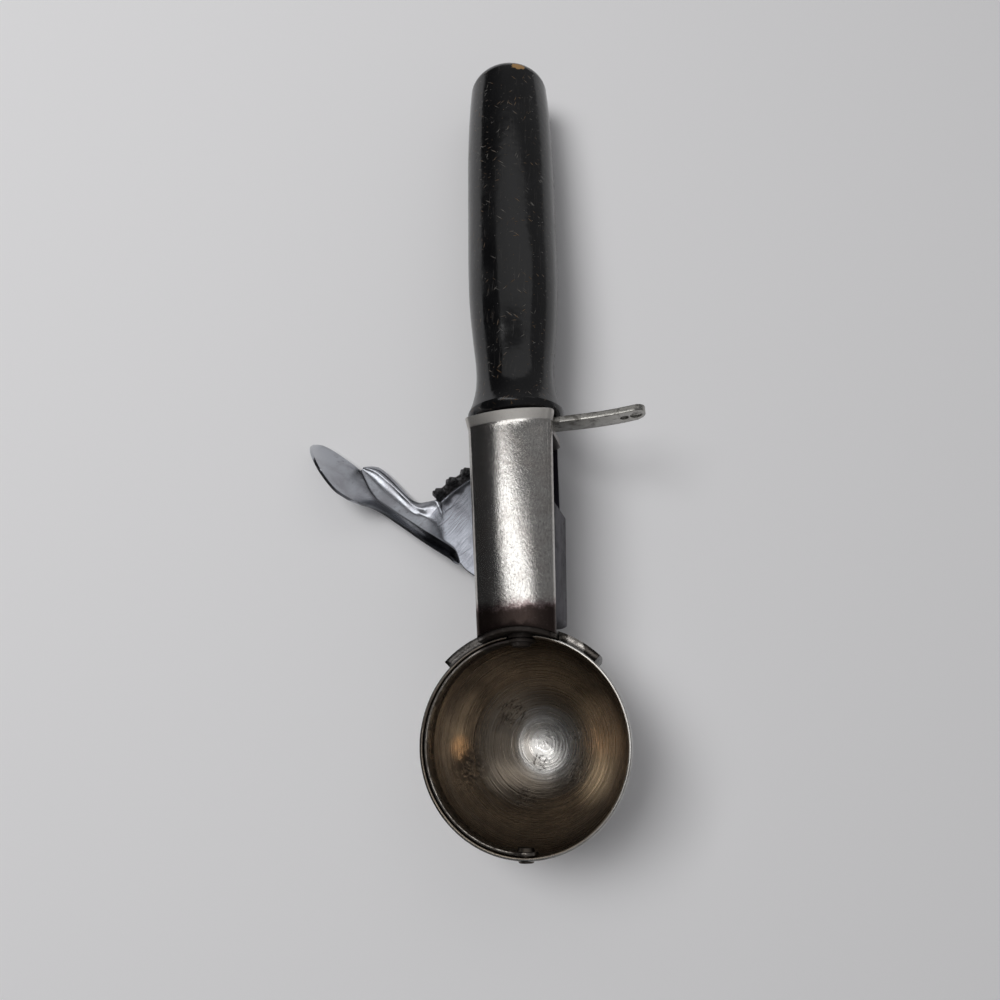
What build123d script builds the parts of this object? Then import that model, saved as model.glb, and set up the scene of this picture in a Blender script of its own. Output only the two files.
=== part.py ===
"""Lever ice cream scoop: a spun bowl with a sweeping scraper, a sheet-metal gear
housing, a thumb lever with a toothed sector, and a turned wooden handle.

Everything is drawn in the tool's own frame: the scraper shaft lies along +Y, the
centre of the bowl's sphere is the origin and the bowl opens towards +Z. At the end
the finished pieces are laid down on their bowl, thumb pad and handle end.
Millimetres and degrees.
"""
from build123d import *
from math import asin, atan, atan2, cos, hypot, pi, radians, sin, sqrt, tan
import os

os.makedirs("parts", exist_ok=True)

# ---- Bowl ----
bowl_radius = 23.5
bowl_wall = 0.8
rim_rise = 1.6
rim_round = 0.3

# ---- Scraper ----
scraper_gap = 0.3
scraper_thickness = 0.5
scraper_width = 4.6
scraper_drop_angle = 2.0
near_eye_radius = 3.2
far_eye_radius = 2.7
eye_thickness = 0.6

# ---- Shaft, bushing and collar ----
shaft_radius = 2.0
running_gap = 0.05
seat_gap = 0.02
rivet_neck_radius = 1.5
rivet_head_height = 0.8
rivet_head_overlap = 0.9
rivet_head_taper = 25.0
bushing_wall = 1.0
bushing_flange = 2.0
bushing_flange_thickness = 0.8
collar_radius = 3.6
collar_length = 2.4
collar_clearance = 0.15
cross_pin_radius = 0.75
far_pin_radius = 1.2
far_pin_head_radius = 1.9
far_pin_head_height = 0.7
far_pin_foot_radius = 1.7
far_pin_foot_height = 0.35
head_taper = 20

# ---- Gears: a pinion on the shaft, over a toothed arc on the lever ----
tooth_pitch = 4.4
pinion_teeth = 8
pinion_setback = 2.09
pressure_angle = 25.0
backlash = 0.2
pinion_addendum = 0.98
pinion_dedendum = 1.2
sector_addendum = 0.84
sector_dedendum = 1.25
pinion_face_before = 1.8
pinion_hub_radius = 3.7
pinion_hub_length = 3.4
flank_steps = 5

# ---- Housing ----
sheet = 1.0
bracket_thickness = 1.8
bracket_gap = 0.05
bracket_half_angle = 44.5
bracket_height = 8.0
bracket_top = 1.2
joint_gap = 0.05
pivot_from_wall = 8.6
housing_reach = 49.5
cover_overhang = 1.2
bowl_end_half_width = 9.0
handle_end_half_width = 10.2
floor_depth = 12.8
floor_corner = 4.0
front_corner = 5.5
side_corner = 2.5
seam_at_bowl = 4.6
seam_at_handle = 6.8
crown_at_bowl = 8.0
crown_at_handle = 10.6
shoulder_drop_at_bowl = 2.0
shoulder_drop_at_handle = 2.3
shoulder_round = 1.8
cover_bowl_gap = 1.0
crest_gap = 0.1
lip_length = 3.0
lip_flare = 0.5
left_window_before_pivot = 1.5
right_window_length = 20.5
window_sill = 0.15
floor_edge = 7.8
bracket_rivet_radius = 1.1
bracket_rivet_spread = 9.6
bracket_rivet_depth = 5.0
bracket_rivet_head = 1.7
bracket_rivet_head_height = 0.7

# ---- Tang, finger rest and handle ----
tang_radius = 3.5
tang_length = 90.0
tang_point = 1.0
tang_plate_thickness = 1.6
tang_plate_gap = 0.1
tang_bore_depth = 8.0
thrust_washer_thickness = 0.6
thrust_washer_radius = 4.6
finger_rest_thickness = 1.6
finger_ring_radius = 8.8
finger_reach = 31.2
finger_top = 2.5
finger_height = 6.0
finger_tip_round = 2.6
finger_bend_start = 9.0
finger_bend_middle = 21.0
finger_bend_middle_rise = 0.15
finger_bend = 1.2
finger_bend_slope = 0.17
finger_dent_depth = 0.35
finger_dents = ((26.2, 1.0), (29.0, 1.4))
handle_length = 105.2
handle_face_radius = 9.8
handle_flare_radius = 11.8
handle_flare_length = 2.35
handle_neck_radius = 10.35
handle_neck_length = 6.5
handle_waist_radius = 9.68
handle_waist_length = 13.5
handle_rise_length = 21.5
handle_swell_radius = 11.35
handle_swell_length = 34.0
handle_grip_radius = 11.6
handle_grip_start = 52.0
handle_grip_end = 71.0
handle_taper_radius = 11.05
handle_taper_length = 92.0
handle_end_radius = 10.52
handle_dome_length = 6.0
handle_tip_flat = 1.0
handle_bore_spare = 0.5

# ---- Thumb lever ----
lever_sheet = 1.4
lever_floor_gap = 0.5
boss_radius = 6.0
washer_radius = 4.4
lever_pin_radius = 2.0
lever_pin_head_radius = 3.4
lever_pin_head_height = 1.1
lever_pin_foot_height = 0.7
sector_from_angle = -42.6
sector_to_angle = 6.2
plate_corner_angle = -44.5
crest_notch = 0.5
drawn_sector_radius = 34.31
arm_bend_reach = 22.0
arm_slope = 13.0
pad_thickness = 1.2
pad_root = 0.9
pad_dish = 0.05

# ---- Return spring ----
spring_wire_radius = 0.5
spring_gap = 0.7
spring_end_gap = 0.3
spring_turns = 11

# ---- Derived sizes ----
bowl_inner = bowl_radius - bowl_wall
scraper_outer = sqrt(bowl_inner**2 - (scraper_width / 2) ** 2) - scraper_gap
scraper_inner = scraper_outer - scraper_thickness
eye_inner = scraper_outer - eye_thickness
bushing_bore = shaft_radius + running_gap
bushing_radius = bushing_bore + bushing_wall
bracket_inner = bowl_radius + bracket_gap
bracket_outer = bracket_inner + bracket_thickness
housing_front = bracket_outer + joint_gap
front_wall_inside = housing_front + sheet
housing_length = bowl_radius + housing_reach
lever_pivot_offset = front_wall_inside + pivot_from_wall
left_window_start = lever_pivot_offset - left_window_before_pivot
right_window_start = housing_length - right_window_length
bushing_flange_end = front_wall_inside + joint_gap + bushing_flange_thickness
collar_start = bushing_flange_end + collar_clearance
collar_end = collar_start + collar_length
cover_start = bowl_radius + cover_bowl_gap
cover_corner = sqrt(cover_start**2 - bowl_end_half_width**2) - sheet
cover_end = housing_length + cover_overhang
lip_start = cover_end - lip_length
tang_plate_start = housing_length - tang_plate_thickness
pinion_pitch_radius = pinion_teeth * tooth_pitch / (2 * pi)
pinion_tip = pinion_pitch_radius + pinion_addendum
pinion_root = pinion_pitch_radius - pinion_dedendum
sector_reach = tang_plate_start - pinion_setback - lever_pivot_offset
sector_teeth = round(2 * pi * sector_reach / tooth_pitch)
sector_radius = sector_teeth * tooth_pitch / (2 * pi)
lever_scale = sector_radius / drawn_sector_radius
arm_bend_x = -arm_bend_reach * lever_scale
pinion_centre = lever_pivot_offset + sector_radius
pinion_start = pinion_centre - pinion_face_before
pinion_end = tang_plate_start - 2 * joint_gap - thrust_washer_thickness
hub_start = pinion_start - pinion_hub_length
hub_middle = hub_start + pinion_hub_length / 2
collar_middle = collar_start + collar_length / 2
floor_top = -floor_depth + sheet
lever_bottom = floor_top + lever_floor_gap
lever_top = lever_bottom + lever_sheet
crest_z = -pinion_pitch_radius + sector_addendum
valley_z = -pinion_pitch_radius - sector_dedendum
tang_end = housing_length + tang_length
finger_start = housing_length + joint_gap
finger_end = finger_start + finger_rest_thickness
handle_start = finger_end + joint_gap
shaft_end = tang_plate_start + tang_bore_depth - spring_end_gap


def across(y):
    """A sketch plane square to the shaft at station y: its own x is +X, its own y is +Z."""
    return Plane(origin=(0, y, 0), x_dir=(1, 0, 0), z_dir=(0, -1, 0))


def between(at_bowl, at_handle, y):
    """A size that changes evenly from the cover's bowl end to its handle end."""
    return at_bowl + (at_handle - at_bowl) * (y - cover_start) / (cover_end - cover_start)


def half_width(y):
    return between(bowl_end_half_width, handle_end_half_width, y)


def seam(y):
    return between(seam_at_bowl, seam_at_handle, y)


def crown(y):
    return between(crown_at_bowl, crown_at_handle, y)


def shoulder_drop(y):
    return between(shoulder_drop_at_bowl, shoulder_drop_at_handle, y)


# ---------------------------------------------------------------- bowl
with BuildPart() as bowl:
    with BuildSketch(Plane.XZ):
        with BuildLine():
            outside = CenterArc((0, 0), bowl_radius, -90, 90)
            outside_lip = Line(outside @ 1, (bowl_radius, rim_rise))
            rim = Line(outside_lip @ 1, (bowl_inner, rim_rise))
            inside_lip = Line(rim @ 1, (bowl_inner, 0))
            inside = CenterArc((0, 0), bowl_inner, 0, -90)
            Line(inside @ 1, outside @ 0)
        make_face()
    revolve(axis=Axis.Z)
    fillet(bowl.edges().group_by(Axis.Z)[-1], radius=rim_round)
    # The bushing lies in a notch that is open at the rim, the far pin in a round hole
    with BuildSketch(across(0)):
        Circle(bushing_radius + seat_gap)
        with Locations((0, rim_rise)):
            Rectangle(2 * (bushing_radius + seat_gap), 2 * rim_rise)
    extrude(amount=-bowl_radius - 1, mode=Mode.SUBTRACT)
    with BuildSketch(across(0)):
        Circle(far_pin_radius + seat_gap)
    extrude(amount=bowl_radius + 1, mode=Mode.SUBTRACT)
bowl.part.label = "bowl"

# ---------------------------------------------------------------- housing
def trough_section(y, inset, rise=0.0):
    """The back frame's section at station y, drawn inset, with its top raised by the rise."""
    reach = half_width(y) - inset
    bottom = -floor_depth + inset
    top = seam(y) + rise
    with BuildSketch(across(y)) as section:
        with BuildLine():
            Polyline((-reach, top), (-reach, bottom), (reach, bottom), (reach, top), close=True)
        make_face()
        fillet(section.vertices().group_by(Axis.Y)[0], radius=floor_corner - inset)
    return section.sketch


def trough_block(inset):
    """The back frame as a solid block, drawn inset by a sheet's thickness."""
    front = housing_front + inset
    with BuildPart() as block:
        loft(sections=[trough_section(housing_front, inset, inset),
                       trough_section(housing_length + inset, inset, inset)])
        with BuildSketch(Plane.YZ) as side:
            with BuildLine():
                Polyline((front, crown_at_handle), (front, -floor_depth + inset),
                         (housing_length + inset, -floor_depth + inset),
                         (housing_length + inset, crown_at_handle), close=True)
            make_face()
            fillet(side.vertices().group_by(Axis.X)[0].sort_by(Axis.Y)[0], radius=front_corner - inset)
        extrude(amount=handle_end_half_width + 2, both=True, mode=Mode.INTERSECT)
        with BuildSketch(Plane.XY.offset(-floor_depth - 1)) as plan:
            reach = handle_end_half_width + 2
            bowl_reach = half_width(housing_front) - inset
            with BuildLine():
                Polyline((-bowl_reach, front), (bowl_reach, front), (reach, housing_length + 2),
                         (-reach, housing_length + 2), close=True)
            make_face()
            fillet(plan.vertices().group_by(Axis.Y)[0], radius=side_corner - inset)
        extrude(amount=floor_depth + crown_at_handle + 2, mode=Mode.INTERSECT)
    return block.part


with BuildPart() as back_frame:
    add(trough_block(0))
    add(trough_block(sheet), mode=Mode.SUBTRACT)
    # The lever swings out through a window in each side
    for start, side in ((left_window_start, -1), (right_window_start, 1)):
        with BuildSketch(Plane.XY.offset(floor_top + window_sill)):
            with Locations((side * handle_end_half_width, (start + cover_end) / 2)):
                Rectangle(handle_end_half_width, cover_end - start)
        extrude(amount=floor_depth + crown_at_handle, mode=Mode.SUBTRACT)
        with BuildSketch(Plane.XY.offset(-floor_depth - 1)):
            with Locations((side * (floor_edge + sheet + floor_corner / 2), (start + cover_end) / 2)):
                Rectangle(2 * sheet + floor_corner, cover_end - start)
        extrude(amount=floor_depth + crown_at_handle, mode=Mode.SUBTRACT)
    with BuildSketch(across(0)):
        Circle(bushing_radius + seat_gap)
    extrude(amount=-front_wall_inside - 1, mode=Mode.SUBTRACT)
    with BuildSketch(across(0)):
        with Locations((-bracket_rivet_spread / 2, -bracket_rivet_depth),
                       (bracket_rivet_spread / 2, -bracket_rivet_depth)):
            Circle(bracket_rivet_radius + seat_gap)
    extrude(amount=-front_wall_inside - 1, mode=Mode.SUBTRACT)
    with BuildSketch(Plane.XY.offset(floor_top + 1)):
        with Locations((0, lever_pivot_offset)):
            Circle(lever_pin_radius + seat_gap)
    extrude(amount=-sheet - 2, mode=Mode.SUBTRACT)
back_frame.part.label = "back_frame"


def cover_section(y, inset, flare=0.0):
    """The front cover's section at station y: two short walls under a low crown."""
    reach = half_width(y) - inset + flare
    top = crown(y) - inset + flare
    shoulder = top - shoulder_drop(y)
    foot = seam(y) + joint_gap - inset
    with BuildSketch(across(y)) as section:
        with BuildLine():
            left_wall = Line((-reach, foot), (-reach, shoulder))
            roof = ThreePointArc(left_wall @ 1, (0, top), (reach, shoulder))
            right_wall = Line(roof @ 1, (reach, foot))
            Line(right_wall @ 1, left_wall @ 0)
        make_face()
        fillet(section.vertices().group_by(Axis.Y)[-1], radius=shoulder_round - inset / 2)
    return section.sketch


# The crest of the saddle stands behind the rim and closes the cover's end
with BuildPart() as saddle_crest:
    loft(sections=[cover_section(cover_corner, sheet + crest_gap), cover_section(housing_front, sheet + crest_gap)])
    with BuildSketch(Plane.XY):
        with Locations((0, bracket_inner)):
            Rectangle(2 * (bowl_end_half_width - crest_gap), bracket_inner)
    extrude(amount=seam_at_bowl)
    with BuildSketch(Plane.XY):
        Circle(bracket_outer)
        Circle(bracket_inner, mode=Mode.SUBTRACT)
    extrude(amount=crown_at_bowl, mode=Mode.INTERSECT)

# The saddle that hugs the bowl, with an ear on each side
with BuildPart() as bowl_bracket:
    with BuildSketch(Plane.XZ):
        with BuildLine():
            saddle_out = CenterArc((0, 0), bracket_outer, -90, 180)
            Line(saddle_out @ 1, (0, bracket_inner))
            saddle_in = CenterArc((0, 0), bracket_inner, 90, -180)
            Line(saddle_in @ 1, saddle_out @ 0)
        make_face()
    revolve(axis=Axis.Z)
    with BuildSketch(Plane.XY.offset(-bracket_height)):
        with BuildLine():
            ear_reach = bracket_outer + 2
            left_ear = (-ear_reach * sin(radians(bracket_half_angle)),
                        ear_reach * cos(radians(bracket_half_angle)))
            right_ear = (-left_ear[0], left_ear[1])
            Polyline((0, 0), left_ear, (left_ear[0], ear_reach + 2),
                     (right_ear[0], ear_reach + 2), right_ear, close=True)
        make_face()
    extrude(amount=bracket_height + bracket_top, mode=Mode.INTERSECT)
    add(saddle_crest.part)
    with BuildSketch(across(0)):
        Circle(bushing_radius + seat_gap)
    extrude(amount=-bracket_outer - 1, mode=Mode.SUBTRACT)
    with BuildSketch(across(0)):
        with Locations((-bracket_rivet_spread / 2, -bracket_rivet_depth),
                       (bracket_rivet_spread / 2, -bracket_rivet_depth)):
            Circle(bracket_rivet_radius + seat_gap)
    extrude(amount=-bracket_outer - 1, mode=Mode.SUBTRACT)
bowl_bracket.part.label = "bowl_bracket"

with BuildPart() as front_cover:
    for inset, mode in ((0, Mode.ADD), (sheet, Mode.SUBTRACT)):
        loft(sections=[cover_section(cover_corner - inset, inset), cover_section(lip_start, inset)], mode=mode)
        end_flare = lip_flare * (lip_length + inset) / lip_length
        loft(sections=[cover_section(lip_start, inset), cover_section(cover_end + inset, inset, end_flare)],
             mode=mode)
    # Its end follows the bowl
    with BuildSketch(Plane.XY):
        Circle(cover_start)
    extrude(amount=crown_at_handle, mode=Mode.SUBTRACT)
front_cover.part.label = "front_cover"

with BuildPart() as bracket_rivets:
    with BuildSketch(across(bracket_inner)):
        with Locations((-bracket_rivet_spread / 2, -bracket_rivet_depth),
                       (bracket_rivet_spread / 2, -bracket_rivet_depth)):
            Circle(bracket_rivet_radius)
    extrude(amount=-(front_wall_inside + joint_gap - bracket_inner))
    with BuildSketch(across(front_wall_inside + joint_gap)):
        with Locations((-bracket_rivet_spread / 2, -bracket_rivet_depth),
                       (bracket_rivet_spread / 2, -bracket_rivet_depth)):
            Circle(bracket_rivet_head)
    extrude(amount=-bracket_rivet_head_height)
    # Their ends are dressed flush with the saddle's hollow face
    Sphere(bracket_inner, mode=Mode.SUBTRACT)
bracket_rivets.part.label = "bracket_rivets"

# ---------------------------------------------------------------- shaft line
with BuildPart() as shaft_bushing:
    with BuildSketch(across(bowl_inner)):
        Circle(bushing_radius)
    extrude(amount=-(bushing_flange_end - bowl_inner))
    with BuildSketch(across(bushing_flange_end)):
        Circle(bushing_radius + bushing_flange)
    extrude(amount=bushing_flange_thickness)
    with BuildSketch(across(0)):
        Circle(bushing_bore)
    extrude(amount=-bushing_flange_end - 1, mode=Mode.SUBTRACT)
shaft_bushing.part.label = "shaft_bushing"

with BuildPart() as scraper_shaft:
    with BuildSketch(across(scraper_outer + seat_gap)):
        Circle(shaft_radius)
    extrude(amount=-(shaft_end - scraper_outer - seat_gap))
    with BuildSketch(across(scraper_outer + seat_gap)):
        Circle(rivet_neck_radius)
    extrude(amount=eye_thickness + 2 * seat_gap)
    with BuildSketch(across(eye_inner - seat_gap)):
        Circle(rivet_neck_radius + rivet_head_overlap)
    extrude(amount=rivet_head_height, taper=rivet_head_taper)
    for station in (collar_middle, hub_middle):
        with BuildSketch(Plane.XY.offset(-collar_radius)):
            with Locations((0, station)):
                Circle(cross_pin_radius + seat_gap)
        extrude(amount=2 * collar_radius, mode=Mode.SUBTRACT)
scraper_shaft.part.label = "scraper_shaft"

with BuildPart() as shaft_collar:
    with BuildSketch(across(collar_start)):
        Circle(collar_radius)
        Circle(shaft_radius + seat_gap, mode=Mode.SUBTRACT)
    extrude(amount=-collar_length)
    with BuildSketch(Plane.XY.offset(-collar_radius - 1)):
        with Locations((0, collar_middle)):
            Circle(cross_pin_radius + seat_gap)
    extrude(amount=2 * collar_radius + 2, mode=Mode.SUBTRACT)
shaft_collar.part.label = "shaft_collar"


def tooth_half_angle(radius):
    """Half the angle that an involute tooth fills at this radius, in radians."""
    base = pinion_pitch_radius * cos(radians(pressure_angle))
    at_pitch = (tooth_pitch - 2 * backlash) / (4 * pinion_pitch_radius)
    roll = sqrt(max((radius / base) ** 2 - 1, 0))
    return at_pitch + tan(radians(pressure_angle)) - radians(pressure_angle) - (roll - atan(roll))


with BuildPart() as pinion:
    with BuildSketch(across(pinion_end)):
        Circle(pinion_root)
        for tooth in range(pinion_teeth):
            middle = -pi / 2 + 2 * pi * tooth / pinion_teeth
            radii = [pinion_root - 0.2] + [
                pinion_root + (pinion_tip - pinion_root) * step / flank_steps for step in range(flank_steps + 1)
            ]
            rising = [(r * cos(middle - tooth_half_angle(r)), r * sin(middle - tooth_half_angle(r))) for r in radii]
            falling = [(r * cos(middle + tooth_half_angle(r)), r * sin(middle + tooth_half_angle(r))) for r in radii]
            with BuildLine():
                Polyline(*rising, *reversed(falling), close=True)
            make_face()
    extrude(amount=pinion_end - pinion_start)
    with BuildSketch(across(pinion_start)):
        Circle(pinion_hub_radius)
    extrude(amount=pinion_hub_length)
    with BuildSketch(across(0)):
        Circle(shaft_radius + seat_gap)
    extrude(amount=-pinion_end - 1, mode=Mode.SUBTRACT)
    with BuildSketch(Plane.XY.offset(-pinion_hub_radius - 1)):
        with Locations((0, hub_middle)):
            Circle(cross_pin_radius + seat_gap)
    extrude(amount=2 * pinion_hub_radius + 2, mode=Mode.SUBTRACT)
pinion.part.label = "pinion"


def cross_pin(station, reach):
    """A plain pin through the shaft at this station, flush with the hub around it."""
    with BuildPart() as pin:
        with BuildSketch(Plane.XY.offset(-reach)):
            with Locations((0, station)):
                Circle(cross_pin_radius)
        extrude(amount=2 * reach)
    return pin


collar_pin = cross_pin(collar_middle, collar_radius)
collar_pin.part.label = "collar_pin"
pinion_pin = cross_pin(hub_middle, pinion_hub_radius)
pinion_pin.part.label = "pinion_pin"

with BuildPart() as thrust_washer:
    with BuildSketch(across(tang_plate_start - joint_gap)):
        Circle(thrust_washer_radius)
        Circle(shaft_radius + running_gap, mode=Mode.SUBTRACT)
    extrude(amount=thrust_washer_thickness)
thrust_washer.part.label = "thrust_washer"

# ---------------------------------------------------------------- scraper
# A half hoop from the shaft to the far pin, resting just under the rim's left side
scraper_plane = Plane.XY.rotated((0, -scraper_drop_angle, 0))
with BuildPart() as scraper:
    with BuildSketch(scraper_plane.offset(-scraper_width / 2)):
        with BuildLine():
            hoop_out = CenterArc((0, 0), scraper_outer, 90, 180)
            Line(hoop_out @ 1, (0, -scraper_inner))
            hoop_in = CenterArc((0, 0), scraper_inner, 270, -180)
            Line(hoop_in @ 1, hoop_out @ 0)
        make_face()
    extrude(amount=scraper_width)
    with BuildSketch(across(eye_inner)):
        Circle(near_eye_radius)
    extrude(amount=-eye_thickness)
    with BuildSketch(across(-eye_inner)):
        Circle(far_eye_radius)
    extrude(amount=eye_thickness)
    with BuildSketch(across(0)):
        Circle(rivet_neck_radius + seat_gap)
    extrude(amount=-bowl_radius, mode=Mode.SUBTRACT)
    with BuildSketch(across(0)):
        Circle(far_pin_radius + running_gap)
    extrude(amount=bowl_radius, mode=Mode.SUBTRACT)
scraper.part.label = "scraper"

with BuildPart() as scraper_pin:
    with BuildSketch(across(-eye_inner + running_gap)):
        Circle(far_pin_radius)
    extrude(amount=bowl_radius - eye_inner + running_gap + seat_gap)
    with BuildSketch(across(-eye_inner + running_gap)):
        Circle(far_pin_head_radius)
    extrude(amount=-far_pin_head_height, taper=head_taper)
    with BuildSketch(across(-bowl_radius - seat_gap)):
        Circle(far_pin_foot_radius)
    extrude(amount=far_pin_foot_height, taper=head_taper)
scraper_pin.part.label = "scraper_pin"

# ---------------------------------------------------------------- thumb lever
pivot = (0, lever_pivot_offset)
sector_out = sector_radius + lever_sheet / 2
sector_in = sector_radius - lever_sheet / 2
sector_middle_angle = (sector_from_angle + sector_to_angle) / 2
pitch_angle = 360 / sector_teeth


def around_pivot(angle, radius):
    """A point at this radius from the lever's pivot, turned from +Y towards +X."""
    return (radius * sin(radians(angle)), lever_pivot_offset + radius * cos(radians(angle)))


def flange_plane(angle):
    """An upright plane just outside the toothed flange at this angle, facing the pivot."""
    outward = Vector(sin(radians(angle)), cos(radians(angle)), 0)
    return Plane(origin=Vector(*pivot, 0) + outward * (sector_out + 1),
                 x_dir=(outward.Y, -outward.X, 0), z_dir=-outward)


def from_pivot(points):
    """Plan points drawn in mm from the pivot, at the sector radius the lever has."""
    return [(x * lever_scale, lever_pivot_offset + y * lever_scale) for x, y in points]


arm_plane = Plane(origin=(arm_bend_x, 0, lever_bottom),
                  x_dir=(-cos(radians(arm_slope)), 0, sin(radians(arm_slope))),
                  z_dir=(sin(radians(arm_slope)), 0, cos(radians(arm_slope))))
def on_arm(x, y):
    """A plan point of the arm, in the arm plane's own coordinates."""
    return ((arm_bend_x - x) / cos(radians(arm_slope)), -y)


lobe = from_pivot([(-21.0, 26.0), (-23.2, 26.2), (-24.8, 25.1), (-26.4, 24.7), (-28.1, 25.0),
                   (-31.2, 27.7), (-34.1, 30.8), (-37.0, 34.0), (-39.4, 35.1), (-41.8, 35.0)])
# Stations along the flange that the arm's lower edge turns up into, from the plate to the thumb
# pad's tip: where its foot and its brim lie in plan, and how far the brim rises over the foot
flange_foot = from_pivot([(-18.2, 10.7), (-20.6, 13.6), (-26.6, 17.5), (-32.5, 21.4), (-36.1, 24.0),
                          (-38.5, 25.7), (-40.4, 28.3), (-41.7, 30.9), (-43.1, 34.0), (-44.2, 35.0),
                          (-48.0, 38.0), (-51.1, 40.2), (-53.5, 41.3), (-54.7, 41.5)])
flange_brim = from_pivot([(-18.8, 9.3), (-21.1, 11.0), (-26.9, 15.1), (-32.5, 19.4), (-36.0, 22.0),
                          (-38.6, 23.4), (-40.9, 23.7), (-42.1, 23.9), (-44.8, 25.7), (-46.6, 28.1),
                          (-48.5, 31.1), (-50.6, 34.5), (-52.8, 37.6), (-54.2, 39.6)])
flange_rise = [2.2, 2.6, 2.6, 2.6, 2.9, 3.6, 5.6, 7.8, 10.2, 11.2, 11.2, 9.6, 6.4, 3.0]
arm_stations = 9


def above_arm(point, rise=0.0):
    """The spot this far above the arm's top face, at a plan point."""
    slope = tan(radians(arm_slope))
    return Vector(*point, lever_top + max(0, arm_bend_x - point[0]) * slope + rise)


def flange_section(number):
    """A thin slice of the flange at one station, dished, with its foot set into the arm."""
    foot = above_arm(flange_foot[number])
    brim = above_arm(flange_foot[number], flange_rise[number])
    brim = Vector(*flange_brim[number], brim.Z)
    before, after = max(number - 1, 0), min(number + 1, len(flange_rise) - 1)
    back = above_arm(flange_foot[before], flange_rise[before] / 2) - above_arm(flange_foot[after],
                                                                           flange_rise[after] / 2)
    height = (brim - foot).length
    up_face = (brim - foot).normalized()
    plane = Plane(origin=foot, x_dir=up_face, z_dir=(back - up_face * back.dot(up_face)).normalized())
    dish = pad_dish * height
    with BuildSketch(plane) as section:
        with BuildLine():
            Polyline((-pad_root, 0), (height / 2, dish), (height, 0), (height, pad_thickness),
                     (height / 2, pad_thickness + dish), (-pad_root, pad_thickness), close=True)
        make_face()
    return section.sketch


lower_edge = from_pivot([(-4.4, -1.0), (-14.4, 5.4), (-21.0, 10.8), (-arm_bend_reach, 11.6),
                         (-arm_bend_reach, 24.8)])

with BuildPart() as thumb_lever:
    # The flat sector plate around the pivot
    with BuildSketch(Plane.XY.offset(lever_bottom)):
        with BuildLine():
            toothed = ThreePointArc(around_pivot(plate_corner_angle, sector_out),
                                    around_pivot(sector_middle_angle, sector_out),
                                    around_pivot(sector_to_angle, sector_out))
            hollow = ThreePointArc(toothed @ 1, *from_pivot([(-2.8, 20.0), (4.2, 4.4)]))
            Polyline(hollow @ 1, pivot, *lower_edge, toothed @ 0)
        make_face()
        with Locations(pivot):
            Circle(boss_radius)
    extrude(amount=lever_sheet)
    # The toothed flange, turned up along the sector's rim
    with BuildSketch(Plane.XY.offset(lever_bottom)):
        with BuildLine():
            rim_out = ThreePointArc(*[around_pivot(angle, sector_out) for angle in
                                      (sector_from_angle, sector_middle_angle, sector_to_angle)])
            rim_in = ThreePointArc(*[around_pivot(angle, sector_in) for angle in
                                     (sector_to_angle, sector_middle_angle, sector_from_angle)])
            Line(rim_out @ 1, rim_in @ 0)
            Line(rim_in @ 1, rim_out @ 0)
        make_face()
    extrude(amount=crest_z - lever_bottom)
    # Tooth gaps: the one at angle 0 takes a pinion tooth while the lever rests
    first_gap = int(sector_from_angle / pitch_angle) - 1
    last_gap = int(sector_to_angle / pitch_angle) + 1
    gap_top_z = crest_z + crest_notch
    gap_top = tooth_pitch / 2 + backlash + 2 * (gap_top_z + pinion_pitch_radius) * tan(radians(pressure_angle))
    gap_bottom = tooth_pitch / 2 + backlash - 2 * sector_dedendum * tan(radians(pressure_angle))
    for gap in range(first_gap, last_gap + 1):
        with BuildSketch(flange_plane(gap * pitch_angle)) as gap_shape:
            with BuildLine():
                Polyline((-gap_top / 2, gap_top_z), (-gap_bottom / 2, valley_z),
                         (gap_bottom / 2, valley_z), (gap_top / 2, gap_top_z), close=True)
            make_face()
            fillet(gap_shape.vertices().group_by(Axis.Y)[0], radius=gap_bottom / 3)
        extrude(amount=lever_sheet + 2, mode=Mode.SUBTRACT)
        with BuildSketch(flange_plane((gap + 0.5) * pitch_angle)):
            with BuildLine():
                Polyline((-crest_notch / 2, crest_z), (0, crest_z - crest_notch), (crest_notch / 2, crest_z),
                         close=True)
            make_face()
        extrude(amount=lever_sheet + 2, mode=Mode.SUBTRACT)
    # The arm, bent up from the plate, and the flange that widens into the thumb pad
    with BuildSketch(arm_plane):
        with BuildLine():
            Polyline(*[on_arm(x, y) for x, y in lobe + flange_foot[1:arm_stations][::-1]], close=True)
        make_face()
    extrude(amount=lever_sheet)
    loft(sections=[flange_section(number) for number in range(len(flange_rise))], ruled=True)
    with BuildSketch(Plane.XY.offset(lever_bottom)):
        with Locations(pivot):
            Circle(lever_pin_radius + running_gap)
    extrude(amount=lever_sheet, mode=Mode.SUBTRACT)
thumb_lever.part.label = "thumb_lever"

with BuildPart() as pivot_washer:
    with BuildSketch(Plane.XY.offset(floor_top + joint_gap)):
        with Locations(pivot):
            Circle(washer_radius)
            Circle(lever_pin_radius + running_gap, mode=Mode.SUBTRACT)
    extrude(amount=lever_floor_gap - 2 * joint_gap)
pivot_washer.part.label = "pivot_washer"

with BuildPart() as lever_pivot_pin:
    with BuildSketch(Plane.XY.offset(-floor_depth - seat_gap)):
        with Locations(pivot):
            Circle(lever_pin_radius)
    extrude(amount=lever_top + joint_gap + floor_depth + seat_gap)
    with BuildSketch(Plane.XY.offset(lever_top + joint_gap)):
        with Locations(pivot):
            Circle(lever_pin_head_radius)
    extrude(amount=lever_pin_head_height, taper=head_taper)
    with BuildSketch(Plane.XY.offset(-floor_depth - seat_gap)):
        with Locations(pivot):
            Circle(lever_pin_head_radius)
    extrude(amount=-lever_pin_foot_height, taper=head_taper)
lever_pivot_pin.part.label = "lever_pivot_pin"

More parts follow.
